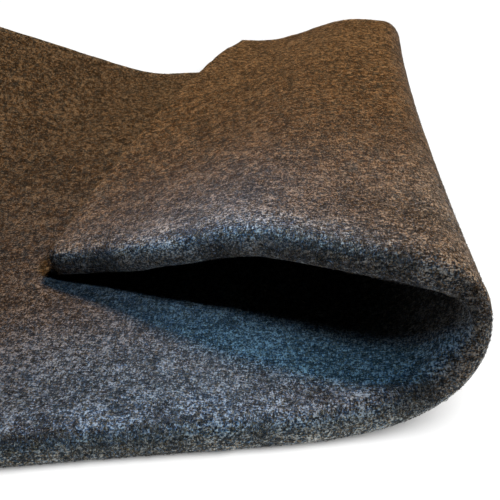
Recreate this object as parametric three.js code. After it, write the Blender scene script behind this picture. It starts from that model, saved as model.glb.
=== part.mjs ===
// A length of thick felt padding, folded over once and lying on a level surface.
// Lengths are in millimetres, angles in degrees, and +Z is up.
// +X runs from the cut end of the lower layer towards the fold, and +Y from the near edge to the far edge.
// The cloth is worked out flat first, by its length and its width, and then every point is folded.
import * as THREE from 'three';

// Driving sizes of the flat cloth
const FELT_THICKNESS = 7;
const CLOTH_WIDTH = 262;
const LOWER_LENGTH = 90;
const FLAP_LENGTH = 148;
const FLAP_END_SLANT = 16.5;
const EDGE_ROUNDING = 2.7;

// The near edge bows out a little: how far at 100 mm past the place where the bow starts
const NEAR_EDGE_BOW = 0.73;
const NEAR_EDGE_BOW_START = -67;
const NEAR_EDGE_BOW_SPAN = 100;

// The uneven cut of the near edge swells out once more: how far, where along the cloth, and how widely
const NEAR_EDGE_SWELL = { out: 2.5, at: 22, spread: 43 };

// The fold line runs aslant across the cloth, and the flap's cut end rests on the lower layer.
// Past the lower layer's far edge nothing carries the flap, so its far corner sags a little.
const FOLD_SKEW = 17.5;
const RESTING_GAP = 0.3;
const FAR_CORNER_SAG = { depth: 2, from: 262, to: 330 };

// The bend turns slowly as it leaves the surface and tightly at its top
const TURN_SLOW_START = 2.3;
const TURN_TIGHT_END = 0.03;
const TURN_STEPS = 240;

// The inner side is squeezed where the bend is tightest: how much, where, and over which share of the bend
const SQUEEZE = { share: 0.49, centre: 0.84, spread: 0.083 };

// The bend is a little shorter halfway along the fold than at its two ends
const MIDDLE_SHORTENING = 3;

// The fold's section at the near and the far edge. Lengths follow the cloth, and the three shares are
// of the flap's length past the bend: where it begins to slope down, where it has its full slope, and
// how much of that slope is lost again by its cut end.
const FOLD_SECTIONS = {
  near: { bendLength: 62.4, slopeBegins: 0.277, slopeFull: 0.264, levelling: 0.163 },
  far: { bendLength: 55.2, slopeBegins: 0.068, slopeFull: 0.355, levelling: 0.819 },
};
const LEVELLING_DELAY = 0.02;

// How far past the far edge's section, as a share of the cloth's width, the change along the fold goes on
const SECTION_REACH = 1.15;

// The far corner of the lower layer curls up, past a line from the far edge to the near edge
const CURL = { farX: 10, nearX: -95, radius: 55, slope: 21.8 };

// The mesh: steps along the lower layer, round the bend, down the flap, and across the cloth
const STEPS = { lower: 12, bend: 30, flap: 18, across: 12, rounding: 2 };
const SECTION_STEPS = 120;
const CLOSING_TRIALS = 26;
const STEEPEST_CLOSING = 1.6;

const radians = THREE.MathUtils.degToRad;
const skew = radians(FOLD_SKEW);
const halfThickness = FELT_THICKNESS / 2;
const alongNormal = { x: Math.cos(skew), y: -Math.sin(skew) };
const alongFold = { x: Math.sin(skew), y: Math.cos(skew) };

// Share of the half turn that is made after each step of the bend
const turnRates = Array.from({ length: TURN_STEPS + 1 }, (_, step) => {
  const share = step / TURN_STEPS;
  return share ** TURN_SLOW_START * (1 - share) ** TURN_TIGHT_END;
});
const turnShares = [0];
for (let step = 1; step <= TURN_STEPS; step += 1) {
  const rate = (turnRates[step - 1] + turnRates[step]) / 2;
  turnShares.push(turnShares[step - 1] + rate);
}
const wholeTurn = turnShares[TURN_STEPS];

function turnShare(bendShare) {
  const place = THREE.MathUtils.clamp(bendShare, 0, 1) * TURN_STEPS;
  const step = Math.min(Math.floor(place), TURN_STEPS - 1);
  return THREE.MathUtils.lerp(turnShares[step], turnShares[step + 1], place - step) / wholeTurn;
}

// Edges of the flat cloth, by length (u) and width (v)
function nearEdge(u) {
  const bow = NEAR_EDGE_BOW * ((u - NEAR_EDGE_BOW_START) / NEAR_EDGE_BOW_SPAN) ** 2;
  const { out, at, spread } = NEAR_EDGE_SWELL;
  return -bow - out * Math.exp(-(((u - at) / spread) ** 2));
}

function flapEnd(v) {
  return FLAP_LENGTH + v * Math.tan(radians(FLAP_END_SLANT));
}

// Length of cloth from the fold's start to the flap's cut end, square to the fold, at a place along it
function developedLength(along) {
  const slant = Math.tan(radians(FLAP_END_SLANT));
  const reach = FLAP_LENGTH + along * (Math.cos(skew) * slant - Math.sin(skew));
  return reach / (Math.cos(skew) + Math.sin(skew) * slant);
}

// The fold's section at a place along it, blended from the near and the far section
function sectionAt(along) {
  const blend = THREE.MathUtils.clamp(along / CLOTH_WIDTH, 0, SECTION_REACH);
  const size = (name) => THREE.MathUtils.lerp(FOLD_SECTIONS.near[name], FOLD_SECTIONS.far[name], blend);
  const length = developedLength(along);
  const bendLength = size('bendLength') - MIDDLE_SHORTENING * 4 * blend * (1 - blend);
  const flap = length - bendLength;
  const slopeFrom = bendLength + size('slopeBegins') * flap;
  const slopeTo = slopeFrom + size('slopeFull') * flap;
  const levelFrom = slopeTo + LEVELLING_DELAY * flap;
  const levelling = size('levelling');
  const smooth = THREE.MathUtils.smootherstep;
  const heading = (p, closing) => {
    const slope = smooth(p, slopeFrom, slopeTo) - levelling * smooth(p, levelFrom, length);
    return Math.PI * turnShare(p / bendLength) + closing * slope;
  };
  const sag = FAR_CORNER_SAG.depth * smooth(along, FAR_CORNER_SAG.from, FAR_CORNER_SAG.to);
  const endRise = FELT_THICKNESS + RESTING_GAP - sag;
  const section = { length, bendLength, endRise, heading };
  section.closing = closingAngle(section);
  return section;
}

// Walks along the section and returns the place and the heading of the cloth's middle
function walkSection(section, p, closing) {
  const stride = p / SECTION_STEPS;
  let run = 0;
  let rise = 0;
  for (let step = 0; step < SECTION_STEPS; step += 1) {
    const heading = section.heading((step + 0.5) * stride, closing);
    run += Math.cos(heading) * stride;
    rise += Math.sin(heading) * stride;
  }
  return { run, rise, heading: section.heading(p, closing) };
}

// The downward slope of the flap that brings its cut end to rest on the lower layer
function closingAngle(section) {
  let low = 0;
  let high = STEEPEST_CLOSING;
  for (let trial = 0; trial < CLOSING_TRIALS; trial += 1) {
    const middle = (low + high) / 2;
    const { rise } = walkSection(section, section.length, middle);
    if (rise > section.endRise) {
      low = middle;
    } else {
      high = middle;
    }
  }
  return (low + high) / 2;
}

// The curl of the far corner, as a bend about a slanting line
const curlLine = new THREE.Vector2(CURL.nearX - CURL.farX, -CLOTH_WIDTH).normalize();
const curlOutward = { x: curlLine.y, y: -curlLine.x };
function curlAt(x, y) {
  const past = (x - CURL.farX) * curlOutward.x + (y - CLOTH_WIDTH) * curlOutward.y;
  if (past <= 0) {
    return { shift: 0, rise: 0, angle: 0 };
  }
  const angle = Math.min(past / CURL.radius, radians(CURL.slope));
  const straight = past - angle * CURL.radius;
  const run = CURL.radius * Math.sin(angle) + straight * Math.cos(angle);
  const rise = CURL.radius * (1 - Math.cos(angle)) + straight * Math.sin(angle);
  return { shift: run - past, rise, angle };
}

// Folds one point of the flat cloth. height is measured from the middle of the felt, up on the lower layer.
function foldPoint(u, v, height) {
  const p = u * Math.cos(skew) - v * Math.sin(skew);
  const along = u * Math.sin(skew) + v * Math.cos(skew);
  if (p <= 0) {
    const curl = curlAt(u, v);
    const sideways = curl.shift - height * Math.sin(curl.angle);
    return new THREE.Vector3(
      u + sideways * curlOutward.x,
      v + sideways * curlOutward.y,
      halfThickness + curl.rise + height * Math.cos(curl.angle),
    );
  }
  const section = sectionAt(along);
  const walked = walkSection(section, p, section.closing);
  const offPeak = (p / section.bendLength - SQUEEZE.centre) / SQUEEZE.spread;
  const squeezed = height > 0 ? 2 * SQUEEZE.share * Math.exp(-(offPeak ** 2)) : 0;
  const offset = height * (1 - squeezed);
  const run = walked.run - offset * Math.sin(walked.heading);
  const rise = walked.rise + offset * Math.cos(walked.heading);
  return new THREE.Vector3(
    run * alongNormal.x + along * alongFold.x,
    run * alongNormal.y + along * alongFold.y,
    halfThickness + rise,
  );
}

// Where column and row lie on the flat cloth, drawn in from its edges by inset
const columns = STEPS.lower + STEPS.bend + STEPS.flap;
function flatPoint(column, row, inset) {
  const rowShare = row / STEPS.across;
  const roughV = rowShare * CLOTH_WIDTH;
  const foldStart = roughV * Math.tan(skew);
  const { near, far } = FOLD_SECTIONS;
  const bendLength = THREE.MathUtils.lerp(near.bendLength, far.bendLength, rowShare);
  const bendEnd = foldStart + bendLength / Math.cos(skew);
  let u;
  if (column <= STEPS.lower) {
    u = THREE.MathUtils.lerp(-LOWER_LENGTH + inset, foldStart, column / STEPS.lower);
  } else if (column <= STEPS.lower + STEPS.bend) {
    u = THREE.MathUtils.lerp(foldStart, bendEnd, (column - STEPS.lower) / STEPS.bend);
  } else {
    const share = (column - STEPS.lower - STEPS.bend) / STEPS.flap;
    u = THREE.MathUtils.lerp(bendEnd, flapEnd(roughV) - inset, share);
  }
  const v = THREE.MathUtils.lerp(nearEdge(u) + inset, CLOTH_WIDTH - inset, rowShare);
  return { u, v };
}

// Rings round the cut edge, from the upper face over two rounded corners to the lower face
function edgeRings() {
  const upper = [];
  for (let step = 0; step <= STEPS.rounding; step += 1) {
    const angle = (step / STEPS.rounding) * (Math.PI / 2);
    upper.push({
      inset: EDGE_ROUNDING * (1 - Math.sin(angle)),
      height: halfThickness - EDGE_ROUNDING * (1 - Math.cos(angle)),
    });
  }
  const lower = upper.map(({ inset, height }) => ({ inset, height: -height })).reverse();
  return [...upper, ...lower];
}

// The columns and rows met on one trip round the cloth's edge
function edgePlaces() {
  const places = [];
  for (let column = 0; column < columns; column += 1) {
    places.push([column, 0]);
  }
  for (let row = 0; row < STEPS.across; row += 1) {
    places.push([columns, row]);
  }
  for (let column = columns; column > 0; column -= 1) {
    places.push([column, STEPS.across]);
  }
  for (let row = STEPS.across; row > 0; row -= 1) {
    places.push([0, row]);
  }
  return places;
}

function foldedFeltGeometry() {
  const positions = [];
  const indices = [];
  const rings = edgeRings();
  const places = edgePlaces();
  const addPoint = (column, row, ring) => {
    const { u, v } = flatPoint(column, row, ring.inset);
    const point = foldPoint(u, v, ring.height);
    positions.push(point.x, point.y, point.z);
    return positions.length / 3 - 1;
  };
  const addFace = (ring) => {
    const face = [];
    for (let column = 0; column <= columns; column += 1) {
      face.push([]);
      for (let row = 0; row <= STEPS.across; row += 1) {
        face[column].push(addPoint(column, row, ring));
      }
    }
    return face;
  };
  const addQuad = (a, b, c, d) => indices.push(a, b, c, a, c, d);
  const upper = addFace(rings[0]);
  const lower = addFace(rings[rings.length - 1]);
  for (let column = 0; column < columns; column += 1) {
    for (let row = 0; row < STEPS.across; row += 1) {
      const next = column + 1;
      addQuad(upper[column][row], upper[next][row], upper[next][row + 1], upper[column][row + 1]);
      addQuad(lower[column][row], lower[column][row + 1], lower[next][row + 1], lower[next][row]);
    }
  }
  const loops = rings.map((ring, number) => {
    if (number === 0) {
      return places.map(([column, row]) => upper[column][row]);
    }
    if (number === rings.length - 1) {
      return places.map(([column, row]) => lower[column][row]);
    }
    return places.map(([column, row]) => addPoint(column, row, ring));
  });
  for (let number = 1; number < loops.length; number += 1) {
    for (let place = 0; place < places.length; place += 1) {
      const next = (place + 1) % places.length;
      const above = loops[number - 1];
      const below = loops[number];
      addQuad(above[place], below[place], below[next], above[next]);
    }
  }
  const geometry = new THREE.BufferGeometry();
  geometry.setAttribute('position', new THREE.Float32BufferAttribute(positions, 3));
  geometry.setIndex(indices);
  geometry.computeVertexNormals();
  return geometry;
}

// The finished cloth stands with the middle of its underside's outline at the origin
function centredOnSurface(geometry) {
  geometry.computeBoundingBox();
  const { min, max } = geometry.boundingBox;
  return geometry.translate(-(min.x + max.x) / 2, -(min.y + max.y) / 2, -min.z);
}

const feltMaterial = new THREE.MeshStandardMaterial({ color: 0x544b42, roughness: 1, metalness: 0 });
const felt = new THREE.Mesh(centredOnSurface(foldedFeltGeometry()), feltMaterial);
felt.name = 'felt_padding';

const foldedFelt = new THREE.Group();
foldedFelt.add(felt);

export default foldedFelt;
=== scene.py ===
"""Dresses the folded felt padding: a heathered felt sheet with loose surface fibres, floor, light and camera.

The cloth is worked out flat, in millimetres, and folded by the same rules as its solid.
Blender's lengths are metres, so every finished piece is scaled once, as its mesh is written.
"""

import logging
import math
from dataclasses import dataclass, field
from enum import Enum

import bmesh
import bpy
import numpy as np
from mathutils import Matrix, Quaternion, Vector


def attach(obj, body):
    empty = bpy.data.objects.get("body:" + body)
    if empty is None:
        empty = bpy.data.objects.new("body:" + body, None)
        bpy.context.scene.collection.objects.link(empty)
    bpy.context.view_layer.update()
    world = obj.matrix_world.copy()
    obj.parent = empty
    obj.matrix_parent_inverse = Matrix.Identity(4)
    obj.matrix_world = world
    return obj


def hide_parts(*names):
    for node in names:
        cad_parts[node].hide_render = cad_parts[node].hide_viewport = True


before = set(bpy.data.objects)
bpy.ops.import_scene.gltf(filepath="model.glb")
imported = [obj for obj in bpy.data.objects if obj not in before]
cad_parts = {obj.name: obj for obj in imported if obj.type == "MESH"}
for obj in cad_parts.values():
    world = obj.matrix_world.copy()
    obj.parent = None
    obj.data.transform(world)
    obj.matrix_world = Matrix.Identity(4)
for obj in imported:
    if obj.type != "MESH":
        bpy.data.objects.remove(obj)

LOG = logging.getLogger("felt_scene")

MM = 0.001
FELT_NODE = "felt_padding"
BODY = "root"
PHOTO_SIDE_PX = 500
RIBBON_CORNERS = 4
RIBBON_FACES = ((0, 2, 1), (1, 2, 3))
SHORTEST_WAY = 1e-6
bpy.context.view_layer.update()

Colour = tuple[float, float, float]
Point = tuple[float, float, float]
Turns = tuple[float, float, float]
Cell = tuple[np.ndarray, np.ndarray]


class Face(Enum):
    """The two faces of the felt. The value is the sign of the height above the felt's middle."""

    INNER = 1
    OUTER = -1


class Lay(Enum):
    """How loose fibres lie on the part of the cloth that carries them."""

    MATTED = "pressed flat, any way round"
    STANDING = "standing a little out of a face"
    COMBED = "dragged along a cut edge, through the felt's thickness"


def smoother(value: np.ndarray, low: np.ndarray | float, high: np.ndarray | float) -> np.ndarray:
    """Eases from 0 to 1 with level ends.

    Args:
        value: Where to read the ease.
        low: Where it leaves 0.
        high: Where it reaches 1.

    Returns:
        The eased share, of the shape of value.
    """
    share = np.clip((value - low) / (high - low), 0.0, 1.0)
    return share**3 * (share * (share * 6.0 - 15.0) + 10.0)


@dataclass(frozen=True)
class FoldSection:
    """The fold's section at one edge of the cloth. The last three are shares of the flap's length."""

    bend_length: float
    slope_begins: float
    slope_full: float
    levelling: float


@dataclass(frozen=True)
class CornerCurl:
    """The bend that lifts the far corner of the lower layer, about a line aslant across it."""

    far_x: float = 10.0
    near_x: float = -95.0
    radius: float = 55.0
    slope_deg: float = 21.8


@dataclass(frozen=True)
class Squeeze:
    """How the felt's inner side is pressed thin where the bend is tightest, in shares of the bend."""

    share: float = 0.49
    centre: float = 0.84
    spread: float = 0.083


@dataclass
class FoldedCloth:
    """The flat cut of the felt and the fold that it lies in. Lengths are millimetres."""

    thickness: float = 7.0
    width: float = 262.0
    lower_length: float = 90.0
    flap_length: float = 148.0
    flap_end_slant_deg: float = 16.5
    edge_rounding: float = 2.7
    near_edge_bow: float = 0.73
    near_edge_bow_start: float = -67.0
    near_edge_bow_span: float = 100.0
    near_edge_swell: float = 2.5
    near_edge_swell_at: float = 22.0
    near_edge_swell_spread: float = 43.0
    fold_skew_deg: float = 17.5
    resting_gap: float = 0.3
    sag_depth: float = 2.0
    sag_from: float = 262.0
    sag_to: float = 330.0
    turn_slow_start: float = 2.3
    turn_tight_end: float = 0.03
    middle_shortening: float = 3.0
    levelling_delay: float = 0.02
    section_reach: float = 1.15
    near: FoldSection = FoldSection(62.4, 0.277, 0.264, 0.163)
    far: FoldSection = FoldSection(55.2, 0.068, 0.355, 0.819)
    squeeze: Squeeze = Squeeze()
    curl: CornerCurl = CornerCurl()
    stations: int = 90
    section_steps: int = 360
    first_station: float = -30.0
    last_station: float = 345.0
    last_cell: float = 0.001
    past_end: float = 1.1
    turn_steps: int = 1200
    steepest_closing: float = 1.6
    closing_rounds: int = 28

    def __post_init__(self) -> None:
        """Works out the fold's sections once."""
        self.skew = math.radians(self.fold_skew_deg)
        self.along = np.linspace(self.first_station, self.last_station, self.stations)
        self._lay_out_sections()

    @property
    def half(self) -> float:
        """Half the felt's thickness."""
        return self.thickness / 2.0

    @property
    def flat_size(self) -> tuple[float, float]:
        """Width and greatest length of the flat cut, in metres."""
        return self.width * MM, (self.lower_length + self.flap_end(self.width)) * MM

    @property
    def flat_area(self) -> float:
        """Area of the flat cut, in square metres."""
        mean_length = self.lower_length + (self.flap_end(0.0) + self.flap_end(self.width)) / 2.0
        return mean_length * self.width * MM * MM

    def near_edge(self, u: np.ndarray) -> np.ndarray:
        """Width coordinate of the near cut edge, which bows and swells out.

        Args:
            u: Lengths along the cloth.

        Returns:
            The edge's widths, below 0 where it lies outside a straight cut.
        """
        bow = self.near_edge_bow * ((u - self.near_edge_bow_start) / self.near_edge_bow_span) ** 2
        off_swell = (u - self.near_edge_swell_at) / self.near_edge_swell_spread
        return -bow - self.near_edge_swell * np.exp(-(off_swell**2))

    def flap_end(self, v: np.ndarray | float) -> np.ndarray | float:
        """Length coordinate of the flap's cut end at width v."""
        return self.flap_length + v * math.tan(math.radians(self.flap_end_slant_deg))

    def fold_start(self, v: np.ndarray | float) -> np.ndarray | float:
        """Length coordinate where the cloth begins to bend, at width v."""
        return v * math.tan(self.skew)

    def bend_end(self, v: np.ndarray | float) -> np.ndarray | float:
        """Length coordinate where the bend is over.

        Args:
            v: Widths from the near edge.

        Returns:
            The lengths at which the flap begins.
        """
        share = v / self.width
        bend = self.near.bend_length + (self.far.bend_length - self.near.bend_length) * share
        return self.fold_start(v) + bend / math.cos(self.skew)

    def rounding_depth(self, height: np.ndarray) -> np.ndarray:
        """How far a rounded cut edge lies inside the cut, at a height from the felt's middle."""
        above = np.maximum(np.abs(height) - (self.half - self.edge_rounding), 0.0)
        return self.edge_rounding - np.sqrt(np.maximum(self.edge_rounding**2 - above**2, 0.0))

    def edge_distances(self, u: np.ndarray, v: np.ndarray) -> tuple[np.ndarray, np.ndarray]:
        """Measures how deep places lie inside the flat cut.

        Args:
            u: Lengths along the cloth.
            v: Widths from the near edge.

        Returns:
            The distances from the nearer side, and from the nearer cut end.
        """
        from_side = np.minimum(v - self.near_edge(u), self.width - v)
        from_end = np.minimum(u + self.lower_length, self.flap_end(v) - u)
        return from_side, from_end

    def rounding_inset(self, u: np.ndarray, v: np.ndarray) -> np.ndarray:
        """How far a face lies below its full height, where it rounds into a cut edge.

        Args:
            u: Lengths along the cloth.
            v: Widths from the near edge.

        Returns:
            The insets, 0 past the rounding.
        """
        nearest = np.minimum(*self.edge_distances(u, v))
        reach = np.clip(self.edge_rounding - nearest, 0.0, self.edge_rounding)
        return self.edge_rounding - np.sqrt(self.edge_rounding**2 - reach**2)

    def _turn_share(self, bend_share: np.ndarray) -> np.ndarray:
        """Turns slowly at first and tightly at the end of the bend.

        Args:
            bend_share: Shares of the bend's length.

        Returns:
            The shares of the half turn that are made there.
        """
        grid = np.linspace(0.0, 1.0, self.turn_steps + 1)
        rate = grid**self.turn_slow_start * (1.0 - grid) ** self.turn_tight_end
        turned = np.concatenate([[0.0], np.cumsum((rate[1:] + rate[:-1]) / 2.0)])
        return np.interp(np.clip(bend_share, 0.0, 1.0), grid, turned / turned[-1])

    def _between(self, name: str, blend: np.ndarray) -> np.ndarray:
        """Blends a value of the near and far sections."""
        near, far = getattr(self.near, name), getattr(self.far, name)
        return near + (far - near) * blend

    def _lay_out_sections(self) -> None:
        """Tabulates heading, run and rise of the cloth's middle for stations along the fold."""
        along = self.along[:, None]
        slant = math.tan(math.radians(self.flap_end_slant_deg))
        reach = self.flap_length + along * (math.cos(self.skew) * slant - math.sin(self.skew))
        length = reach / (math.cos(self.skew) + math.sin(self.skew) * slant)
        blend = np.clip(along / self.width, 0.0, self.section_reach)
        bend = self._between("bend_length", blend) - self.middle_shortening * 4.0 * blend * (1.0 - blend)
        flap = length - bend
        slope_from = bend + self._between("slope_begins", blend) * flap
        slope_to = slope_from + self._between("slope_full", blend) * flap
        level_from = slope_to + self.levelling_delay * flap
        p = np.linspace(0.0, 1.0, self.section_steps + 1)[None] * length
        turning = math.pi * self._turn_share(p / bend)
        sloping = smoother(p, slope_from, slope_to)
        sloping = sloping - self._between("levelling", blend) * smoother(p, level_from, length)
        sag = self.sag_depth * smoother(along, self.sag_from, self.sag_to)
        end_rise = self.thickness + self.resting_gap - sag
        stride = length / self.section_steps
        closing = self._closing_angle(turning, sloping, stride, end_rise)
        self.heading = turning + closing * sloping
        self.run = self._walk(np.cos(self.heading), stride)
        self.rise = self._walk(np.sin(self.heading), stride)
        self.length = length[:, 0]
        self.bend = bend[:, 0]

    @staticmethod
    def _walk(slopes: np.ndarray, stride: np.ndarray) -> np.ndarray:
        """Adds up the slopes along each row, a stride apart."""
        steps = (slopes[:, 1:] + slopes[:, :-1]) / 2.0 * stride
        return np.concatenate([np.zeros_like(stride), np.cumsum(steps, axis=1)], axis=1)

    def _closing_angle(
        self, turning: np.ndarray, sloping: np.ndarray, stride: np.ndarray, end_rise: np.ndarray
    ) -> np.ndarray:
        """Finds the flap's slope that brings its cut end down to rest.

        Args:
            turning: Heading made by the bend, for each station and step.
            sloping: Share of the closing slope at each step.
            stride: Length of a step at each station.
            end_rise: Height that the cut end has to come to.

        Returns:
            The closing angle of each station.
        """
        low = np.zeros_like(stride)
        high = np.full_like(stride, self.steepest_closing)
        for _ in range(self.closing_rounds):
            middle = (low + high) / 2.0
            rise = self._walk(np.sin(turning + middle * sloping), stride)[:, -1:]
            too_high = rise > end_rise
            low = np.where(too_high, middle, low)
            high = np.where(too_high, high, middle)
        return (low + high) / 2.0

    def _read(self, table: np.ndarray, station: Cell, step: Cell) -> np.ndarray:
        """Reads a table of the sections between its stations and steps.

        Args:
            table: Heading, run or rise, a row for each station.
            station: Row before each point, and the share of the way to the next one.
            step: Column before each point, and the share of the way to the next one.

        Returns:
            The table's values at the points.
        """
        i, f = station
        j, g = step
        near = table[i, j] * (1.0 - g) + table[i, j + 1] * g
        far = table[i + 1, j] * (1.0 - g) + table[i + 1, j + 1] * g
        return near * (1.0 - f) + far * f

    def _curled(self, u: np.ndarray, v: np.ndarray, height: np.ndarray) -> np.ndarray:
        """Lays points of the lower layer, with its far corner curled up.

        Args:
            u: Lengths, from the fold's start at the near edge.
            v: Widths, from the near edge.
            height: Heights from the felt's middle.

        Returns:
            The points in millimetres, one row of x, y and z each.
        """
        curl = self.curl
        line = Vector((curl.near_x - curl.far_x, -self.width)).normalized()
        out_x, out_y = line.y, -line.x
        past = np.maximum((u - curl.far_x) * out_x + (v - self.width) * out_y, 0.0)
        angle = np.minimum(past / curl.radius, math.radians(curl.slope_deg))
        straight = past - angle * curl.radius
        run = curl.radius * np.sin(angle) + straight * np.cos(angle)
        rise = curl.radius * (1.0 - np.cos(angle)) + straight * np.sin(angle)
        sideways = run - past - height * np.sin(angle)
        z = self.half + rise + height * np.cos(angle)
        return np.stack([u + sideways * out_x, v + sideways * out_y, z], axis=-1)

    def fold(self, u: np.ndarray, v: np.ndarray, height: np.ndarray) -> np.ndarray:
        """Folds points of the flat cloth.

        Args:
            u: Lengths, from the fold's start at the near edge.
            v: Widths, from the near edge.
            height: Heights from the felt's middle, up on the lower layer.

        Returns:
            The folded points in millimetres, one row of x, y and z each.
        """
        u, v, height = (np.asarray(a, dtype=float) for a in np.broadcast_arrays(u, v, height))
        p = u * math.cos(self.skew) - v * math.sin(self.skew)
        q = u * math.sin(self.skew) + v * math.cos(self.skew)
        place = (q - self.along[0]) / (self.along[-1] - self.along[0]) * (self.stations - 1)
        place = np.clip(place, 0.0, self.stations - 1.0 - self.last_cell)
        i = place.astype(int)
        f = place - i
        length = self.length[i] * (1.0 - f) + self.length[i + 1] * f
        bend = self.bend[i] * (1.0 - f) + self.bend[i + 1] * f
        walk = np.clip(p / length, 0.0, self.past_end) * self.section_steps
        j = np.minimum(walk.astype(int), self.section_steps - 1)
        g = walk - j
        station, step = (i, f), (j, g)
        heading = self._read(self.heading, station, step)
        off_peak = (p / bend - self.squeeze.centre) / self.squeeze.spread
        pressed = np.where(height > 0.0, 2.0 * self.squeeze.share * np.exp(-(off_peak**2)), 0.0)
        offset = height * (1.0 - pressed)
        run = self._read(self.run, station, step) - offset * np.sin(heading)
        rise = self._read(self.rise, station, step) + offset * np.cos(heading)
        x = run * math.cos(self.skew) + q * math.sin(self.skew)
        y = -run * math.sin(self.skew) + q * math.cos(self.skew)
        folded = np.stack([x, y, self.half + rise], axis=-1)
        return np.where((p <= 0.0)[..., None], self._curled(u, v, height), folded)


@dataclass
class SoftNoise:
    """Seeded, smooth noise on a plane, for the felt's unevenness. Values lie about 0, within 1 each way."""

    seed: int
    side: int = 257

    def __post_init__(self) -> None:
        """Draws the lattice that the noise is read from."""
        self.lattice = np.random.default_rng(self.seed).uniform(-1.0, 1.0, (self.side, self.side))

    def _corner(self, column: np.ndarray, row: np.ndarray) -> np.ndarray:
        """Reads lattice points, which repeat past the lattice's side."""
        return self.lattice[column % self.side, row % self.side]

    def at(self, x: np.ndarray, y: np.ndarray, size: float) -> np.ndarray:
        """Reads the noise at points of the plane.

        Args:
            x: First coordinates, in millimetres.
            y: Second coordinates, in millimetres.
            size: How wide the noise's lumps are.

        Returns:
            The noise, one value for each point.
        """
        gx, gy = np.asarray(x, dtype=float) / size, np.asarray(y, dtype=float) / size
        ix, iy = np.floor(gx).astype(int), np.floor(gy).astype(int)
        fx, fy = smoother(gx - ix, 0.0, 1.0), smoother(gy - iy, 0.0, 1.0)
        low = self._corner(ix, iy) * (1.0 - fx) + self._corner(ix + 1, iy) * fx
        high = self._corner(ix, iy + 1) * (1.0 - fx) + self._corner(ix + 1, iy + 1) * fx
        return low * (1.0 - fy) + high * fy


class NodeBench:
    """Sets out the nodes of one material."""

    def __init__(self, name: str) -> None:
        """Makes an empty material with nodes.

        Args:
            name: Name of the material.
        """
        self.material = bpy.data.materials.new(name)
        self.material.use_nodes = True
        self.tree = self.material.node_tree
        self.tree.nodes.clear()

    def add(self, kind: str, inputs: dict | None = None, **settings: object) -> bpy.types.Node:
        """Adds a node.

        Args:
            kind: The node's type name.
            inputs: Values or output sockets for its inputs, by name or number.
            **settings: Settings of the node itself.

        Returns:
            The new node.
        """
        node = self.tree.nodes.new(kind)
        for name, value in settings.items():
            setattr(node, name, value)
        for key, value in (inputs or {}).items():
            if isinstance(value, bpy.types.NodeSocket):
                self.tree.links.new(value, node.inputs[key])
            else:
                node.inputs[key].default_value = value
        return node

    def ramp(self, factor: bpy.types.NodeSocket, stops: list[tuple[float, Colour]]) -> bpy.types.NodeSocket:
        """Adds a colour ramp.

        Args:
            factor: The value that picks the colour.
            stops: Places from 0 to 1 and their colours.

        Returns:
            The ramp's colour output.
        """
        node = self.add("ShaderNodeValToRGB", {"Fac": factor})
        elements = node.color_ramp.elements
        while len(elements) < len(stops):
            elements.new(0.5)
        for element, (place, colour) in zip(elements, stops):
            element.position = place
            element.color = (*colour, 1.0)
        return node.outputs["Color"]

    def maths(self, operation: str, first: object, second: object) -> bpy.types.NodeSocket:
        """Adds one operation on two values or sockets and returns its output."""
        return self.add("ShaderNodeMath", {0: first, 1: second}, operation=operation).outputs[0]

    def attribute(self, name: str) -> bpy.types.NodeSocket:
        """Reads one of the mesh's own attributes."""
        return self.add("ShaderNodeAttribute", attribute_name=name).outputs["Fac"]

    def mapped(self, where: bpy.types.NodeSocket, change: str, values: Point) -> bpy.types.NodeSocket:
        """Turns or scales places, as the change's name says."""
        return self.add("ShaderNodeMapping", {"Vector": where, change: values}).outputs[0]

    def levels(self, value: bpy.types.NodeSocket, *levels: float) -> bpy.types.NodeSocket:
        """Carries a value from one range to another, given as the first range's ends and the second's."""
        return self.add("ShaderNodeMapRange", {0: value, **dict(enumerate(levels, 1))}).outputs[0]

    def noise(
        self, where: bpy.types.NodeSocket, scale: float, detail: float, harshness: float = 0.5
    ) -> bpy.types.NodeSocket:
        """Makes even noise about zero. Its harshness is how strong its small lumps are."""
        settings = {"Vector": where, "Scale": scale, "Detail": detail, "Roughness": harshness}
        return self.maths("SUBTRACT", self.add("ShaderNodeTexNoise", settings).outputs[0], 0.5)

    def mix(self, blend: str, factor: object, first: object, second: object) -> bpy.types.NodeSocket:
        """Adds a colour mix and returns its colour output."""
        inputs = {"Factor": factor, 6: first, 7: second}
        return self.add("ShaderNodeMix", inputs, data_type="RGBA", blend_type=blend).outputs[2]

    def finish(self, colour: object, roughness: float, specular: float, **more: object) -> bpy.types.Material:
        """Gives the material its surface.

        Args:
            colour: The surface's colour or a socket of it.
            roughness: Its roughness.
            specular: How strongly it shines.
            **more: Other inputs of its shader, with _ for each space in a name.

        Returns:
            The finished material.
        """
        inputs = {"Base Color": colour, "Roughness": roughness, "Specular IOR Level": specular}
        inputs.update({name.replace("_", " "): value for name, value in more.items()})
        shader = self.add("ShaderNodeBsdfPrincipled", inputs)
        self.add("ShaderNodeOutputMaterial", {"Surface": shader.outputs[0]})
        return self.material


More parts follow.
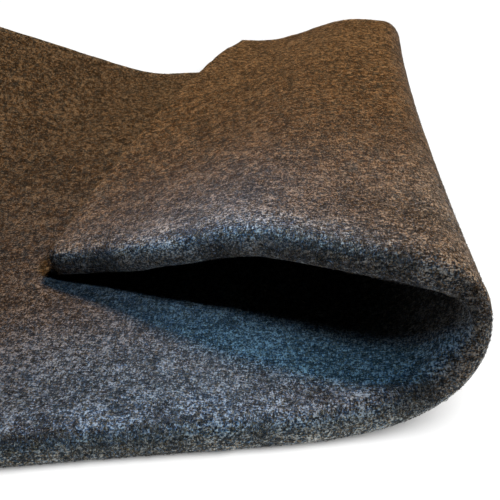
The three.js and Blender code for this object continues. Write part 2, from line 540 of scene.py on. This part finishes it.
@dataclass(frozen=True)
class FeltFinish:
    """Heathered needled felt: dark, taupe, slate and pale fibres matted together."""

    charcoal: Colour = (0.004, 0.004, 0.0045)
    taupe: Colour = (0.057, 0.034, 0.012)
    slate: Colour = (0.016, 0.035, 0.058)
    warm_ash: Colour = (0.142, 0.097, 0.052)
    cool_ash: Colour = (0.068, 0.101, 0.142)
    pale: Colour = (0.34, 0.325, 0.305)
    outer_face: Colour = (1.50, 1.38, 1.22)
    # Painted highlight: a bluish brightening on the crests where the faces round into the cut edges.
    crest_highlight_tint: Colour = (1.42, 1.58, 1.75)
    shade_stops: tuple[float, ...] = (0.22, 0.44, 0.60, 0.86)
    fibre_width: float = 0.25
    fibre_stretch: float = 3.2
    fibre_turns: tuple[Turns, ...] = ((8.0, 12.0, 22.0), (-10.0, 9.0, 104.0), (0.0, 83.0, 40.0))
    fibre_shades: tuple[float, float] = (-0.05, 1.05)
    tufts_per_mm: float = 0.9
    tufts_weight: float = 0.85
    mottle_per_mm: float = 0.24
    mottle_weight: float = 0.6
    clouds_per_mm: float = 0.05
    clouds_weight: float = 0.3
    hues_per_mm: float = 2.6
    hue_edge: float = 0.06
    far_from: float = -0.15
    far_to: float = 0.06
    far_weight: float = 2.4
    far_tufts_per_mm: float = 0.6
    far_harshness: float = 0.9
    far_hues_per_mm: float = 0.9
    far_stretch: float = 2.0
    grain_detail: float = 3.0
    bump_mm: float = 0.4
    roughness: float = 0.95
    specular: float = 0.1
    sheen: float = 0.15
    sheen_roughness: float = 0.5

    def _fibres(self, bench: NodeBench, where: bpy.types.NodeSocket, turns: Turns) -> bpy.types.NodeSocket:
        """Lays slivers side by side, each of its own tone, like cut fibres matted one way.

        Args:
            bench: The material's nodes.
            where: Places on the felt, in millimetres.
            turns: Turns of the slivers about the three axes, in degrees.

        Returns:
            The slivers' tones, from 0 to 1.
        """
        turned = bench.mapped(where, "Rotation", tuple(math.radians(turn) for turn in turns))
        slim = 1.0 / self.fibre_width
        drawn = bench.mapped(turned, "Scale", (slim / self.fibre_stretch, slim, slim))
        cells = bench.add("ShaderNodeTexVoronoi", {"Vector": drawn, "Scale": 1.0})
        return bench.add("ShaderNodeSeparateColor", {"Color": cells.outputs["Color"]}).outputs[0]

    def _grain(
        self, bench: NodeBench, where: bpy.types.NodeSocket, per_mm: float, harshness: float = 0.7
    ) -> bpy.types.NodeSocket:
        """Makes the felt's noise, with so many of its largest lumps on a millimetre."""
        return bench.noise(where, per_mm, self.grain_detail, harshness)

    def _added(
        self, bench: NodeBench, shade: bpy.types.NodeSocket, grain: bpy.types.NodeSocket, weight: object
    ) -> bpy.types.NodeSocket:
        """Adds a grain to a shade, by a weight that is a value or a socket."""
        return bench.maths("ADD", shade, bench.maths("MULTIPLY", grain, weight))

    def _matted(self, bench: NodeBench, here: bpy.types.NodeSocket) -> bpy.types.NodeSocket:
        """Mats three lays of slivers together.

        Args:
            bench: The material's nodes.
            here: Places on the felt, in millimetres.

        Returns:
            The matted fibres' shade, about from 0 to 1.
        """
        lays = [self._fibres(bench, here, turns) for turns in self.fibre_turns]
        matted = lays[0]
        for lay in lays[1:]:
            matted = bench.maths("ADD", matted, lay)
        return bench.levels(matted, 0.0, float(len(lays)), *self.fibre_shades)

    def _shades(
        self, bench: NodeBench, shade: bpy.types.NodeSocket, middle: Colour, ash: Colour
    ) -> bpy.types.NodeSocket:
        """Colours a shade from charcoal over a middle tone and ash to pale."""
        colours = (self.charcoal, middle, ash, self.pale)
        return bench.ramp(shade, list(zip(self.shade_stops, colours)))

    def build(self) -> bpy.types.Material:
        """Builds the felt's material.

        Returns:
            The material, which reads the sheet's own attributes: outer, and the share of the painted bluish
            crest highlight.
        """
        bench = NodeBench("heathered_felt")
        where = bench.add("ShaderNodeTexCoord").outputs["Object"]
        here = bench.mapped(where, "Scale", (1 / MM, 1 / MM, 1 / MM))
        shade = self._matted(bench, here)
        tufts = self._grain(bench, here, self.tufts_per_mm)
        mottle = self._grain(bench, here, self.mottle_per_mm)
        clouds = self._grain(bench, here, self.clouds_per_mm)
        shade = self._added(bench, shade, mottle, self.mottle_weight)
        shade = self._added(bench, shade, clouds, self.clouds_weight)
        shade = self._added(bench, shade, tufts, self.tufts_weight)
        across = bench.add("ShaderNodeSeparateXYZ", {"Vector": where}).outputs["Y"]
        far = bench.levels(across, self.far_from, self.far_to, 0.0, self.far_weight)
        combed = bench.mapped(here, "Scale", (1.0, 1 / self.far_stretch, 1.0))
        coarse = self._grain(bench, combed, self.far_tufts_per_mm, self.far_harshness)
        shade = self._added(bench, shade, coarse, far)
        warm = self._shades(bench, shade, self.taupe, self.warm_ash)
        cool = self._shades(bench, shade, self.slate, self.cool_ash)
        hues = self._grain(bench, here, self.hues_per_mm)
        hues = self._added(bench, hues, self._grain(bench, combed, self.far_hues_per_mm), far)
        colour = bench.mix("MIX", bench.levels(hues, -self.hue_edge, self.hue_edge, 0.0, 1.0), warm, cool)
        colour = bench.mix("MULTIPLY", bench.attribute("outer"), colour, (*self.outer_face, 1.0))
        # Paints the bluish highlight on the crests of the cut edges.
        colour = bench.mix("MULTIPLY", bench.attribute("crest_highlight"), colour, (*self.crest_highlight_tint, 1.0))
        height = bench.maths("ADD", shade, tufts)
        bump = bench.add("ShaderNodeBump", {"Height": height, "Strength": 1.0, "Distance": self.bump_mm * MM})
        return bench.finish(
            colour,
            self.roughness,
            self.specular,
            Sheen_Weight=self.sheen,
            Sheen_Roughness=self.sheen_roughness,
            Normal=bump.outputs[0],
        )


@dataclass(frozen=True)
class FibreFinish:
    """Single loose fibres. Two attributes of their mesh say how pale and how warm each one is."""

    charcoal: Colour = (0.008, 0.008, 0.009)
    taupe: Colour = (0.055, 0.047, 0.039)
    ash: Colour = (0.13, 0.125, 0.12)
    pale: Colour = (0.42, 0.41, 0.39)
    cool_tint: Colour = (0.62, 0.92, 1.45)
    warm_tint: Colour = (1.32, 1.04, 0.60)
    tone_stops: tuple[float, ...] = (0.1, 0.45, 0.75, 1.0)
    flecks_per_mm: float = 0.8
    fleck_detail: float = 1.0
    fleck_weight: float = 0.25
    roughness: float = 0.8
    specular: float = 0.15

    def build(self) -> bpy.types.Material:
        """Builds the fibres' material.

        Returns:
            The material, which reads the fibres' own attributes tone and warmth.
        """
        bench = NodeBench("loose_fibre")
        where = bench.add("ShaderNodeTexCoord").outputs["Object"]
        fleck = bench.noise(where, self.flecks_per_mm / MM, self.fleck_detail)
        flecks = bench.maths("MULTIPLY", fleck, self.fleck_weight)
        varied = bench.maths("ADD", bench.attribute("tone"), flecks)
        stops = list(zip(self.tone_stops, (self.charcoal, self.taupe, self.ash, self.pale)))
        tint = bench.mix("MIX", bench.attribute("warmth"), (*self.cool_tint, 1.0), (*self.warm_tint, 1.0))
        colour = bench.mix("MULTIPLY", 1.0, bench.ramp(varied, stops), tint)
        return bench.finish(colour, self.roughness, self.specular)


@dataclass(frozen=True)
class FloorFinish:
    """A plain pale studio floor."""

    colour: Colour = (0.86, 0.86, 0.86)
    roughness: float = 0.8
    specular: float = 0.1

    def build(self) -> bpy.types.Material:
        """Builds the floor's material."""
        return NodeBench("pale_floor").finish((*self.colour, 1.0), self.roughness, self.specular)


@dataclass(frozen=True)
class Placer:
    """Moves folded points, in millimetres, to the frame's place, in metres."""

    shift: np.ndarray

    def to_frame(self, points: np.ndarray) -> np.ndarray:
        """Shifts and scales points."""
        return (points - self.shift) * MM


def mark_points(mesh: bpy.types.Mesh, name: str, values: np.ndarray) -> None:
    """Gives every vertex of a mesh a value that its material can read."""
    mesh.attributes.new(name, "FLOAT", "POINT").data.foreach_set("value", values)


def mesh_object(name: str, mesh: bpy.types.Mesh, material: bpy.types.Material) -> bpy.types.Object:
    """Makes a visible object of a mesh.

    Args:
        name: The object's name.
        mesh: Its mesh.
        material: The one material that the mesh wears.

    Returns:
        The object, at the origin.
    """
    piece = bpy.data.objects.new(name, mesh)
    mesh.materials.append(material)
    bpy.context.scene.collection.objects.link(piece)
    return piece


@dataclass
class FeltSheet:
    """The felt itself: a flat slab with rounded cut edges, uneven as felt is, and then folded.

    Lengths are millimetres. The grid's lines are shared out between the lower layer, the bend and the flap.
    """

    cloth: FoldedCloth
    columns: int = 236
    rows: int = 178
    bend_from: float = 0.33
    bend_to: float = 0.67
    border: float = 3.2
    sharp_angle: float = 1.0
    rounding_segments: int = 4
    lump_height: float = 0.15
    lump_size: float = 9.0
    dimple_height: float = 0.10
    dimple_size: float = 3.2
    edge_wander: float = 0.35
    edge_wander_size: float = 7.0
    edge_wander_reach: float = 7.0
    outer_noise_shift: float = 500.0
    edge_noise_shift: float = 900.0
    # Reach of the painted crest highlight from a cut edge, and its share at the cut ends.
    crest_highlight_reach: float = 12.0
    end_highlight_share: float = 0.25
    cut_relief: float = 1.0
    cut_core: float = 0.25
    cut_rim: float = 0.8
    seed: int = 41

    def _outline_place(self, column: np.ndarray, row: np.ndarray) -> tuple[np.ndarray, np.ndarray]:
        """Lays shares of the grid on the flat outline.

        Args:
            column: Shares along the cloth, from the lower layer's cut end to the flap's.
            row: Shares across it, from the near edge.

        Returns:
            The lengths and widths of the points on the flat cloth.
        """
        cloth = self.cloth
        v_even = row * cloth.width
        start, bend_end = cloth.fold_start(v_even), cloth.bend_end(v_even)
        end = cloth.flap_end(v_even)
        lower = -cloth.lower_length + (start + cloth.lower_length) * column / self.bend_from
        bend = start + (bend_end - start) * (column - self.bend_from) / (self.bend_to - self.bend_from)
        flap = bend_end + (end - bend_end) * (column - self.bend_to) / (1.0 - self.bend_to)
        u = np.where(column < self.bend_from, lower, np.where(column < self.bend_to, bend, flap))
        near = cloth.near_edge(u)
        v = near + (cloth.width - near) * row
        return u, v

    def _bordered(self, share: np.ndarray, steps: int, length: float) -> np.ndarray:
        """Moves the lines next to both ends away from them, to leave room for the rounding.

        Args:
            share: Even shares of the way from one end to the other.
            steps: How many steps there are.
            length: The way's length.

        Returns:
            The moved shares.
        """
        border = self.border / length
        inner = border + (share * steps - 1.0) / (steps - 2.0) * (1.0 - 2.0 * border)
        return np.where(share < 0.5 / steps, 0.0, np.where(share > 1.0 - 0.5 / steps, 1.0, inner))

    def _flat_slab(self) -> bpy.types.Mesh:
        """Builds the flat felt with rounded edges.

        Returns:
            The slab's mesh in millimetres, its heights about its middle.
        """
        bm = bmesh.new()
        bmesh.ops.create_grid(bm, x_segments=self.columns, y_segments=self.rows, size=0.5)
        grid = np.array([vert.co[:2] for vert in bm.verts]) + 0.5
        column = self._bordered(grid[:, 0], self.columns, self.cloth.lower_length + self.cloth.flap_length)
        row = self._bordered(grid[:, 1], self.rows, self.cloth.width)
        u, v = self._outline_place(column, row)
        for vert, x, y in zip(bm.verts, u, v):
            vert.co = (x, y, self.cloth.half)
        bmesh.ops.solidify(bm, geom=bm.faces[:], thickness=self.cloth.thickness)
        middle = sum(vert.co.z for vert in bm.verts) / len(bm.verts)
        bmesh.ops.translate(bm, verts=bm.verts, vec=(0.0, 0.0, -middle))
        bmesh.ops.recalc_face_normals(bm, faces=bm.faces)
        sharp = [edge for edge in bm.edges if edge.is_manifold and edge.calc_face_angle() > self.sharp_angle]
        bmesh.ops.bevel(
            bm,
            geom=sharp,
            offset=self.cloth.edge_rounding,
            offset_type="OFFSET",
            segments=self.rounding_segments,
            profile=0.5,
            affect="EDGES",
            clamp_overlap=True,
            material=-1,
        )
        for bm_face in bm.faces:
            bm_face.smooth = True
        mesh = bpy.data.meshes.new("felt_sheet")
        bm.to_mesh(mesh)
        bm.free()
        return mesh

    def _uneven(self, flat: np.ndarray) -> np.ndarray:
        """Gives the flat slab soft lumps on its faces and a slight wander along its cut edges.

        Args:
            flat: Length, width and height of each point.

        Returns:
            The moved points, of the same shape.
        """
        cloth = self.cloth
        u, v, height = flat[:, 0], flat[:, 1], flat[:, 2]
        noise, second = SoftNoise(self.seed), SoftNoise(self.seed + 1)
        side = np.where(height > 0.0, 0.0, self.outer_noise_shift)
        lumps = self.lump_height * noise.at(u + side, v, self.lump_size)
        dimples = self.dimple_height * second.at(u + side, v, self.dimple_size)
        on_floor = (height < 0.0) & (u < cloth.fold_start(v))
        raised = np.where(on_floor, 0.0, lumps + dimples) * np.abs(height) / cloth.half
        wander = self.edge_wander * noise.at(u, v + self.edge_noise_shift, self.edge_wander_size)
        from_side, from_end = cloth.edge_distances(u, v)
        at_side = 1.0 - smoother(from_side, 0.0, self.edge_wander_reach)
        at_end = 1.0 - smoother(from_end, 0.0, self.edge_wander_reach)
        moved = np.stack([u + wander * at_end, v + wander * at_side, height], axis=-1)
        moved[:, 2] += np.sign(height) * raised
        return moved

    def _crest_highlight_share(self, flat: np.ndarray) -> np.ndarray:
        """How strongly the bluish highlight is painted on the felt: most where a face rounds into a cut edge,
        and not on the cut's middle.

        Args:
            flat: Length, width and height of each point.

        Returns:
            Shares from 0, as on the open faces, to 1.
        """
        side, end = self.cloth.edge_distances(flat[:, 0], flat[:, 1])
        near_side = 1.0 - smoother(side, 0.0, self.crest_highlight_reach)
        near_end = 1.0 - smoother(end, 0.0, self.crest_highlight_reach)
        near_cut = np.maximum(near_side, self.end_highlight_share * near_end)
        half = self.cloth.half
        on_cut = 1.0 - smoother(np.abs(flat[:, 2]), self.cut_core * half, self.cut_rim * half)
        return near_cut * (1.0 - self.cut_relief * on_cut)

    def build(self) -> tuple[bpy.types.Object, Placer]:
        """Builds the folded sheet.

        Returns:
            The felt's object, and the placer that every other piece of the cloth uses.
        """
        mesh = self._flat_slab()
        count = len(mesh.vertices)
        flat = np.empty(count * 3)
        mesh.vertices.foreach_get("co", flat)
        flat = self._uneven(flat.reshape(count, 3))
        mark_points(mesh, "outer", smoother(-flat[:, 2], -self.cloth.half, self.cloth.half))
        # Marks where the bluish crest highlight is painted.
        mark_points(mesh, "crest_highlight", self._crest_highlight_share(flat))
        folded = self.cloth.fold(flat[:, 0], flat[:, 1], flat[:, 2])
        folded[:, 2] = np.maximum(folded[:, 2], 0.0)
        low, high = folded.min(axis=0), folded.max(axis=0)
        placer = Placer(np.array([(low[0] + high[0]) / 2.0, (low[1] + high[1]) / 2.0, 0.0]))
        mesh.vertices.foreach_set("co", placer.to_frame(folded).ravel())
        mesh.update()
        return mesh_object("felt_sheet", mesh, FeltFinish().build()), placer


@dataclass(frozen=True)
class Lift:
    """How fibres leave a face: their usual angle, its spread, and the share of their rise that they keep."""

    usual_deg: float
    spread_deg: float
    kept_rise: float
    steepest_deg: float = 75.0


LIFTS = {Lay.MATTED: Lift(4.0, 7.0, 1.0), Lay.STANDING: Lift(20.0, 13.0, 0.7)}


@dataclass(frozen=True)
class EdgeComb:
    """How fibres lie on a cut edge, in shares of their length, and the share of them that each edge has.

    The lower layer's cut end has what the other three edges leave.
    """

    outward: float = 0.13
    sideways: float = 0.5
    least_along: float = 0.2
    near_side: float = 0.5
    far_side: float = 0.16
    flap_end: float = 0.24


@dataclass
class FibreLayer:
    """Loose fibres on one part of the cloth, joined in one mesh. Lengths are millimetres."""

    name: str
    lay: Lay
    count: int
    seed: int
    cloth: FoldedCloth
    face: Face = Face.OUTER
    shortest: float = 0.35
    longest: float = 1.1
    thinnest: float = 0.07
    thickest: float = 0.15
    curve: float = 0.45
    middle_rise: float = 0.62
    sink: float = 0.08
    twist: float = 0.4
    least_height: float = 0.02
    near_bias: float = 1.6
    outer_from: float = 0.1
    inner_to: float = 0.85
    comb: EdgeComb = EdgeComb()
    tones: tuple[float, float] = (0.45, 0.28)
    material: bpy.types.Material | None = field(default=None, repr=False)

    def _face_roots(self, rng: np.random.Generator) -> tuple[np.ndarray, np.ndarray, np.ndarray]:
        """Scatters roots on one face of the cloth, closer together at its near side.

        Args:
            rng: The layer's own random numbers.

        Returns:
            The lengths, widths and heights of the roots on the flat cloth.
        """
        cloth = self.cloth
        v = cloth.width * rng.uniform(0.0, 1.0, self.count) ** self.near_bias
        bend = cloth.bend_end(v) - cloth.fold_start(v)
        if self.face is Face.OUTER:
            first, last = cloth.fold_start(v) + self.outer_from * bend, cloth.flap_end(v)
        else:
            first, last = np.full(self.count, -cloth.lower_length), cloth.fold_start(v) + self.inner_to * bend
        u = first + (last - first) * rng.uniform(0.0, 1.0, self.count)
        v = np.maximum(v, cloth.near_edge(u))
        height = np.full(self.count, cloth.half - self.sink)
        inset = cloth.rounding_inset(u, v)
        return u, v, self.face.value * (height - inset)

    def _edge_roots(self, rng: np.random.Generator) -> tuple[np.ndarray, np.ndarray, np.ndarray, np.ndarray]:
        """Scatters roots on the cut's outline.

        Args:
            rng: The layer's own random numbers.

        Returns:
            The lengths, widths and heights of the roots, and the angle of the way out of the edge.
        """
        cloth = self.cloth
        height = rng.uniform(-1.0, 1.0, self.count) * (cloth.half - self.sink)
        which = rng.uniform(0.0, 1.0, self.count)
        along = rng.uniform(0.0, 1.0, self.count)
        v = along * cloth.width
        u_near = -cloth.lower_length + (cloth.flap_end(0.0) + cloth.lower_length) * along
        u_far = -cloth.lower_length + (cloth.flap_end(cloth.width) + cloth.lower_length) * along
        shares = np.cumsum([self.comb.near_side, self.comb.far_side, self.comb.flap_end])
        sides = [which < shares[0], which < shares[1], which < shares[2], which >= shares[2]]
        u = np.select(sides, [u_near, u_far, cloth.flap_end(v), -cloth.lower_length])
        v = np.select(sides, [cloth.near_edge(u), cloth.width, v, v])
        out = np.select(sides, [-90.0, 90.0, 0.0, 180.0])
        return u, v, height, np.radians(out)

    def _paths(self, rng: np.random.Generator) -> tuple[np.ndarray, np.ndarray, np.ndarray]:
        """Draws each fibre as a root, a middle and a tip on the flat cloth.

        Args:
            rng: The layer's own random numbers.

        Returns:
            Arrays of u, v and height, each with a row for a fibre and a column for a point.
        """
        length = rng.uniform(self.shortest, self.longest, self.count)
        out = None
        if self.lay is Lay.COMBED:
            comb = self.comb
            u, v, height, out = self._edge_roots(rng)
            outward = np.abs(rng.normal(0.0, comb.outward, self.count)) * length
            sideways = rng.normal(0.0, comb.sideways, self.count) * length
            way = rng.choice([-1.0, 1.0], self.count)
            rise = way * rng.uniform(comb.least_along, 1.0, self.count) * length
            du = np.cos(out) * outward - np.sin(out) * sideways
            dv = np.sin(out) * outward + np.cos(out) * sideways
        else:
            leaving = LIFTS[self.lay]
            u, v, height = self._face_roots(rng)
            heading = rng.uniform(0.0, 2.0 * math.pi, self.count)
            lifted = rng.normal(leaving.usual_deg, leaving.spread_deg, self.count)
            lift = np.radians(np.clip(lifted, 0.0, leaving.steepest_deg))
            rise = self.face.value * np.sin(lift) * length * leaving.kept_rise
            du, dv = np.cos(heading) * np.cos(lift) * length, np.sin(heading) * np.cos(lift) * length
        sway = rng.normal(0.0, self.curve, self.count)
        steps = np.array([0.0, 0.5, 1.0])
        bow = np.array([0.0, 0.5, 0.0])
        us = u[:, None] + du[:, None] * steps - dv[:, None] * bow * sway[:, None]
        vs = v[:, None] + dv[:, None] * steps + du[:, None] * bow * sway[:, None]
        heights = height[:, None] + rise[:, None] * np.array([0.0, self.middle_rise, 1.0])
        if out is not None:
            highest = self.cloth.half - self.sink
            heights = np.clip(heights, -highest, highest)
            depth = self.cloth.rounding_depth(heights) + self.sink
            us, vs = us - np.cos(out)[:, None] * depth, vs - np.sin(out)[:, None] * depth
        return us, vs, heights

    @staticmethod
    def _unit(ways: np.ndarray) -> np.ndarray:
        """Scales rows to a length of 1."""
        return ways / np.maximum(np.linalg.norm(ways, axis=1, keepdims=True), SHORTEST_WAY)

    def build(self, placer: Placer) -> bpy.types.Object:
        """Builds the layer as bent ribbons, pointed at both ends.

        Args:
            placer: Takes the folded points to the frame.

        Returns:
            The layer's object.
        """
        rng = np.random.default_rng(self.seed)
        u, v, height = self._paths(rng)
        points = self.cloth.fold(u, v, height)
        ahead = points[:, 2] - points[:, 0]
        up = self._unit(self.cloth.fold(u[:, 0], v[:, 0], height[:, 0] + 0.5) - points[:, 0])
        across = self._unit(np.cross(ahead, up + rng.normal(0.0, self.twist, up.shape)))
        half_width = rng.uniform(self.thinnest, self.thickest, self.count)[:, None] / 2.0
        left, right = points[:, 1] - across * half_width, points[:, 1] + across * half_width
        ring = np.stack([points[:, 0], left, right, points[:, 2]], axis=1)
        ring[..., 2] = np.maximum(ring[..., 2], self.least_height)
        first = (np.arange(self.count) * RIBBON_CORNERS)[:, None]
        faces = (first[:, :, None] + np.array(RIBBON_FACES)[None]).reshape(-1, 3)
        mesh = bpy.data.meshes.new(self.name)
        mesh.from_pydata(placer.to_frame(ring.reshape(-1, 3)), [], faces)
        tone = np.clip(rng.normal(*self.tones, self.count), 0.0, 1.0)
        mark_points(mesh, "tone", np.repeat(tone, RIBBON_CORNERS))
        mark_points(mesh, "warmth", np.repeat(rng.uniform(0.0, 1.0, self.count), RIBBON_CORNERS))
        mesh.update()
        return mesh_object(self.name, mesh, self.material)


@dataclass(frozen=True)
class StudioFloor:
    """The pale floor under the cloth. Its side is in metres."""

    side: float = 12.0

    def build(self) -> bpy.types.Object:
        """Builds the floor, just under the cloth.

        Returns:
            The floor's object.
        """
        bm = bmesh.new()
        bmesh.ops.create_grid(bm, x_segments=1, y_segments=1, size=self.side / 2.0)
        mesh = bpy.data.meshes.new("floor")
        bm.to_mesh(mesh)
        bm.free()
        floor = mesh_object("floor", mesh, FloorFinish().build())
        return floor


def hang_lamp(data: bpy.types.Light, ahead: Vector, lit: bpy.types.Collection) -> bpy.types.Object:
    """Hangs a lamp that lights some pieces alone and that the camera doesn't see.

    Args:
        data: The lamp's light.
        ahead: The way that it faces.
        lit: The pieces that it lights.

    Returns:
        The lamp's object, at the origin.
    """
    lamp = bpy.data.objects.new(data.name, data)
    lamp.rotation_euler = ahead.to_track_quat("-Z", "Y").to_euler()
    lamp.light_linking.receiver_collection = lit
    lamp.visible_camera = False
    bpy.context.scene.collection.objects.link(lamp)
    return lamp


@dataclass(frozen=True)
class SoftLamp:
    """A soft lamp on the cloth alone, aimed at a point. Lengths are millimetres, on the cloth's own axes."""

    name: str
    place: Point
    aim: Point
    size: tuple[float, float]
    watts: float
    colour: Colour
    spread_deg: float = 180.0

    def build(self, placer: Placer, lit: bpy.types.Collection) -> bpy.types.Object:
        """Builds the lamp.

        Args:
            placer: Takes the lamp's place to the frame.
            lit: The pieces that it lights.

        Returns:
            The lamp's object.
        """
        data = bpy.data.lights.new(self.name, "AREA")
        data.shape = "RECTANGLE"
        data.energy = self.watts
        data.size, data.size_y = (side * MM for side in self.size)
        data.spread = math.radians(self.spread_deg)
        data.color = self.colour
        lamp = hang_lamp(data, Vector(self.aim) - Vector(self.place), lit)
        lamp.location = placer.to_frame(np.array(self.place))
        return lamp


@dataclass(frozen=True)
class FloorLamp:
    """Wide white light from the right front on the floor alone, which keeps the floor plain and pale."""

    strength: float = 4.8
    angle_deg: float = 70.0
    direction: Point = (-0.45, 0.5, -1.0)

    def build(self, lit: bpy.types.Collection) -> bpy.types.Object:
        """Builds the lamp.

        Args:
            lit: The pieces that it lights.

        Returns:
            The lamp's object.
        """
        data = bpy.data.lights.new("floor_lamp", "SUN")
        data.energy = self.strength
        data.angle = math.radians(self.angle_deg)
        return hang_lamp(data, Vector(self.direction), lit)


@dataclass(frozen=True)
class Studio:
    """A warm lamp behind and above, cool ones over and in front of the near edge, and a pale backdrop."""

    backdrop: Colour = (0.93, 0.93, 0.93)
    lamps: tuple[SoftLamp, ...] = (
        SoftLamp(
            name="warm_lamp",
            place=(156.0, 222.0, 485.0),
            aim=(20.0, 60.0, 10.0),
            size=(110.0, 110.0),
            watts=2.5708,
            colour=(1.0, 0.59, 0.28),
        ),
        SoftLamp(
            name="edge_strip",
            place=(-10.0, 12.0, 90.0),
            aim=(-10.0, 6.0, 0.0),
            size=(70.0, 6.0),
            watts=0.0115,
            colour=(0.23, 0.61, 1.0),
            spread_deg=50.0,
        ),
        SoftLamp(
            name="crest_strip",
            place=(5.0, 10.0, 90.0),
            aim=(5.0, 4.0, 0.0),
            size=(24.0, 6.0),
            watts=0.0008,
            colour=(0.50, 0.76, 1.0),
            spread_deg=40.0,
        ),
        SoftLamp(
            name="floor_strip",
            place=(-25.0, -15.0, 4.0),
            aim=(-25.0, 0.0, 4.0),
            size=(170.0, 4.0),
            watts=0.0022,
            colour=(0.55, 0.82, 1.0),
            spread_deg=60.0,
        ),
        SoftLamp(
            name="cool_lamp",
            place=(-5.0, 25.0, 55.0),
            aim=(0.0, 85.0, 0.0),
            size=(8.0, 8.0),
            watts=0.0148,
            colour=(0.39, 0.66, 1.0),
        ),
        SoftLamp(
            name="bend_lamp",
            place=(65.0, 15.0, 55.0),
            aim=(70.0, 75.0, 0.0),
            size=(8.0, 8.0),
            watts=0.0087,
            colour=(0.85, 0.95, 1.0),
        ),
    )

    def _sky(self) -> bpy.types.World:
        """Builds a sky that the camera sees as a pale backdrop, and that lights nothing.

        Returns:
            The sky.
        """
        world = bpy.data.worlds.new("soft_sky")
        world.use_nodes = True
        tree = world.node_tree
        tree.nodes.clear()
        unlit, seen = (tree.nodes.new("ShaderNodeBackground") for _ in range(2))
        seen.inputs["Color"].default_value = (*self.backdrop, 1.0)
        unlit.inputs["Strength"].default_value = 0.0
        path, mixed = tree.nodes.new("ShaderNodeLightPath"), tree.nodes.new("ShaderNodeMixShader")
        out = tree.nodes.new("ShaderNodeOutputWorld")
        tree.links.new(path.outputs["Is Camera Ray"], mixed.inputs[0])
        tree.links.new(unlit.outputs[0], mixed.inputs[1])
        tree.links.new(seen.outputs[0], mixed.inputs[2])
        tree.links.new(mixed.outputs[0], out.inputs["Surface"])
        return world

    def build(self, placer: Placer, floor: bpy.types.Object, pieces: list[bpy.types.Object]) -> None:
        """Builds the sky and the lamps, and reads colours plainly.

        Args:
            placer: Takes the lamps' places to the frame.
            floor: The floor, lit by its own lamp.
            pieces: The cloth's pieces, lit by the soft lamps.
        """
        bpy.context.scene.world = self._sky()
        bpy.context.scene.view_settings.view_transform = "Standard"
        on_floor, on_cloth = bpy.data.collections.new("lit_floor"), bpy.data.collections.new("lit_cloth")
        on_floor.objects.link(floor)
        for piece in pieces:
            on_cloth.objects.link(piece)
        FloorLamp().build(on_floor)
        for lamp in self.lamps:
            lamp.build(placer, on_cloth)


@dataclass(frozen=True)
class PhotoCamera:
    """The camera that took the photograph, fitted to the cut edges. Lengths are millimetres."""

    place: Point = (-9.21, -93.22, 84.88)
    yaw_deg: float = 9.20
    pitch_deg: float = 26.57
    roll_deg: float = -0.1
    focal_px: float = 705.9
    sensor: float = 36.0
    nearest: float = 10.0

    def build(self, placer: Placer) -> bpy.types.Object:
        """Builds the camera and makes it the scene's.

        Args:
            placer: Takes the camera's place to the frame.

        Returns:
            The camera's object.
        """
        data = bpy.data.cameras.new("photo_camera")
        data.sensor_width = self.sensor
        data.lens = self.focal_px / PHOTO_SIDE_PX * self.sensor
        data.clip_start = self.nearest * MM
        camera = bpy.data.objects.new("photo_camera", data)
        camera.location = placer.to_frame(np.array(self.place))
        yaw, pitch = math.radians(self.yaw_deg), math.radians(self.pitch_deg)
        ahead = Vector((math.sin(yaw) * math.cos(pitch), math.cos(yaw) * math.cos(pitch), -math.sin(pitch)))
        level = ahead.to_track_quat("-Z", "Y")
        camera.rotation_euler = (level @ Quaternion((0.0, 0.0, 1.0), math.radians(self.roll_deg))).to_euler()
        bpy.context.scene.collection.objects.link(camera)
        bpy.context.scene.camera = camera
        return camera


@dataclass
class FeltPadding:
    """The whole folded felt: its sheet and the fibres that lie and stand loose on it."""

    cloth: FoldedCloth = field(default_factory=FoldedCloth)
    matted_fibres: int = 94000
    standing_fibres: int = 45000
    combed_fibres: int = 94000
    longest_standing: float = 0.8
    longest_combed: float = 0.9
    outer_tones: tuple[float, float] = (0.52, 0.28)
    edge_tones: tuple[float, float] = (0.50, 0.26)

    def _layers(self) -> list[FibreLayer]:
        """Lists the fibre layers.

        Returns:
            Two layers for each face, and one for the cut edges.
        """
        cloth, fibre = self.cloth, FibreFinish().build()
        outer = {"face": Face.OUTER, "tones": self.outer_tones, "material": fibre}
        inner = {"face": Face.INNER, "material": fibre}
        low = {"longest": self.longest_standing}
        edge = {"longest": self.longest_combed, "tones": self.edge_tones, "material": fibre}
        matted, standing = self.matted_fibres, self.standing_fibres
        return [
            FibreLayer("flap_matted_fibres", Lay.MATTED, matted, 11, cloth, **outer),
            FibreLayer("lower_matted_fibres", Lay.MATTED, matted, 12, cloth, **inner),
            FibreLayer("flap_standing_fibres", Lay.STANDING, standing, 13, cloth, **low, **outer),
            FibreLayer("lower_standing_fibres", Lay.STANDING, standing, 14, cloth, **low, **inner),
            FibreLayer("edge_fibres", Lay.COMBED, self.combed_fibres, 15, cloth, **edge),
        ]

    def build(self) -> tuple[list[bpy.types.Object], Placer]:
        """Builds and declares every piece of the felt.

        Returns:
            The pieces, the sheet first, and the placer.
        """
        sheet, placer = FeltSheet(self.cloth).build()
        LOG.info("felt sheet: %d faces", len(sheet.data.polygons))
        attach(sheet, BODY)
        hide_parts(FELT_NODE)
        fibres = []
        for layer in self._layers():
            piece = layer.build(placer)
            LOG.info("%s: %d fibres", layer.name, layer.count)
            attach(piece, BODY)
            fibres.append(piece)
        self.cloth.flat_size
        self.cloth.flat_area
        return [sheet, *fibres], placer


def main() -> None:
    """Builds the scene: floor, felt, light and camera."""
    logging.basicConfig(level=logging.INFO, format="%(name)s %(message)s")
    floor = StudioFloor().build()
    pieces, placer = FeltPadding().build()
    Studio().build(placer, floor, pieces)
    PhotoCamera().build(placer)


if __name__ == "__main__":
    main()
